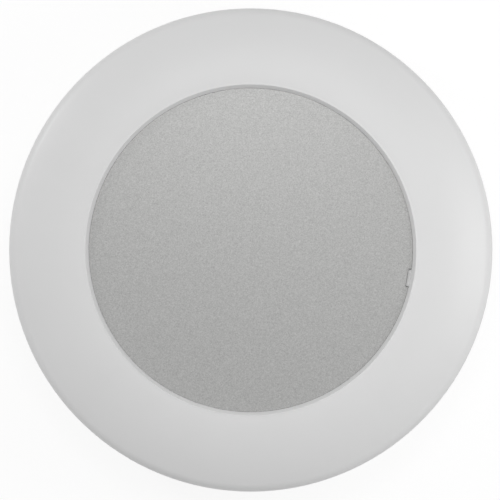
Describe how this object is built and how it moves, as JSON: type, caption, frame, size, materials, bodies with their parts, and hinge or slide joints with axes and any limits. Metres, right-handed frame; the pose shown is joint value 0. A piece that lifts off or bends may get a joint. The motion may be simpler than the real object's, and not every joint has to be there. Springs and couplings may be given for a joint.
{
  "type": "waterproof ceiling light",
  "caption": "Round surface luminaire with an opal ring diffuser, a recessed silver centre cover over captive screws, and a sealed base pan holding LED boards and a driver.",
  "frame": {"origin": "centre of the mounting surface that the back gasket rests on", "axes": "+Z out of the mounting surface, the way the light faces; +Y towards the top of the picture, +X to its right"},
  "size_m": [0.3, 0.3, 0.07],
  "materials": {
    "opal_polycarbonate": "moulded opal polycarbonate, satin",
    "silver_lacquer": "silver metallic lacquer on a moulded cover, fine speckle, satin",
    "white_moulding": "moulded white polycarbonate, fine spark texture",
    "foam_rubber": "closed cell foam rubber",
    "silicone": "grey silicone",
    "black_rubber": "moulded black rubber",
    "brass": "turned and knurled",
    "painted_steel": "white powder coat, slight orange peel",
    "zinc_steel": "zinc plated",
    "stainless_steel": "turned stainless steel",
    "connector_plastic": "moulded white polyamide",
    "white_pvc": "wire insulation",
    "driver_plastic": "moulded white polycarbonate",
    "circuit_board": "green solder mask on glass laminate",
    "grey_polyamide": "moulded grey polyamide",
    "orange_polyamide": "moulded orange polyamide",
    "tinned_copper": "tin plated",
    "brown_pvc": "wire insulation",
    "blue_pvc": "wire insulation",
    "green_yellow_pvc": "striped wire insulation",
    "red_pvc": "wire insulation",
    "black_pvc": "wire insulation",
    "led_board_laminate": "white solder mask on aluminium laminate",
    "led_package": "silicone with phosphor",
    "black_nylon": "moulded black nylon"
  },
  "bodies": {
    "base": {"base_pan": "white_moulding", "back_gasket": "foam_rubber", "rim_gasket": "silicone", "cable_grommet": "black_rubber", "blanking_plug": "black_rubber", "threaded_inserts": "brass", "gear_tray": "painted_steel", "gear_tray_screws": "zinc_steel", "led_board_1": "led_board_laminate", "led_board_2": "led_board_laminate", "led_board_3": "led_board_laminate", "led_board_4": "led_board_laminate", "led_chips_1": "led_package", "led_chips_2": "led_package", "led_chips_3": "led_package", "led_chips_4": "led_package", "board_connectors": "connector_plastic", "board_screws": "zinc_steel", "board_jumpers": "white_pvc", "driver_case": "driver_plastic", "driver_lid": "driver_plastic", "driver_board": "circuit_board", "driver_screws": "zinc_steel", "terminal_block": "grey_polyamide", "terminal_contacts": "brass", "terminal_screws": "zinc_steel", "earth_screw": "zinc_steel", "earth_lug": "tinned_copper", "wire_live": "brown_pvc", "wire_neutral": "blue_pvc", "wire_earth": "green_yellow_pvc", "wire_led_plus": "red_pvc", "wire_led_minus": "black_pvc"},
    "diffuser": {"diffuser": "opal_polycarbonate", "sealing_washers": "black_rubber"},
    "cover": {"centre_cover": "silver_lacquer"},
    "screw_1": {"captive_screw_1": "stainless_steel", "retaining_clip_1": "black_nylon"},
    "screw_2": {"captive_screw_2": "stainless_steel", "retaining_clip_2": "black_nylon"},
    "screw_3": {"captive_screw_3": "stainless_steel", "retaining_clip_3": "black_nylon"},
    "button_live": {"terminal_button_live": "orange_polyamide"},
    "button_neutral": {"terminal_button_neutral": "orange_polyamide"},
    "button_earth": {"terminal_button_earth": "orange_polyamide"}
  },
  "joints": [
    {"name": "diffuser_lift", "type": "slide", "parent": "base", "child": "diffuser", "axis": [0, 0, 1], "range_m": [0, 0.1]},
    {"name": "cover_lift", "type": "slide", "parent": "diffuser", "child": "cover", "axis": [0, 0, 1], "range_m": [0, 0.035]},
    {"name": "screw_1_turn", "type": "hinge", "parent": "diffuser", "child": "screw_1", "pos_m": [0.06755, 0.039, 0.0572], "axis": [0, 0, 1], "continuous": true},
    {"name": "screw_2_turn", "type": "hinge", "parent": "diffuser", "child": "screw_2", "pos_m": [-0.06755, 0.039, 0.0572], "axis": [0, 0, 1], "continuous": true},
    {"name": "screw_3_turn", "type": "hinge", "parent": "diffuser", "child": "screw_3", "pos_m": [0, -0.078, 0.0572], "axis": [0, 0, 1], "continuous": true},
    {"name": "button_live_press", "type": "slide", "parent": "base", "child": "button_live", "axis": [0, 0, 1], "range_m": [-0.0015, 0], "stiffness_N_per_m": 300},
    {"name": "button_neutral_press", "type": "slide", "parent": "base", "child": "button_neutral", "axis": [0, 0, 1], "range_m": [-0.0015, 0], "stiffness_N_per_m": 300},
    {"name": "button_earth_press", "type": "slide", "parent": "base", "child": "button_earth", "axis": [0, 0, 1], "range_m": [-0.0015, 0], "stiffness_N_per_m": 300}
  ]
}
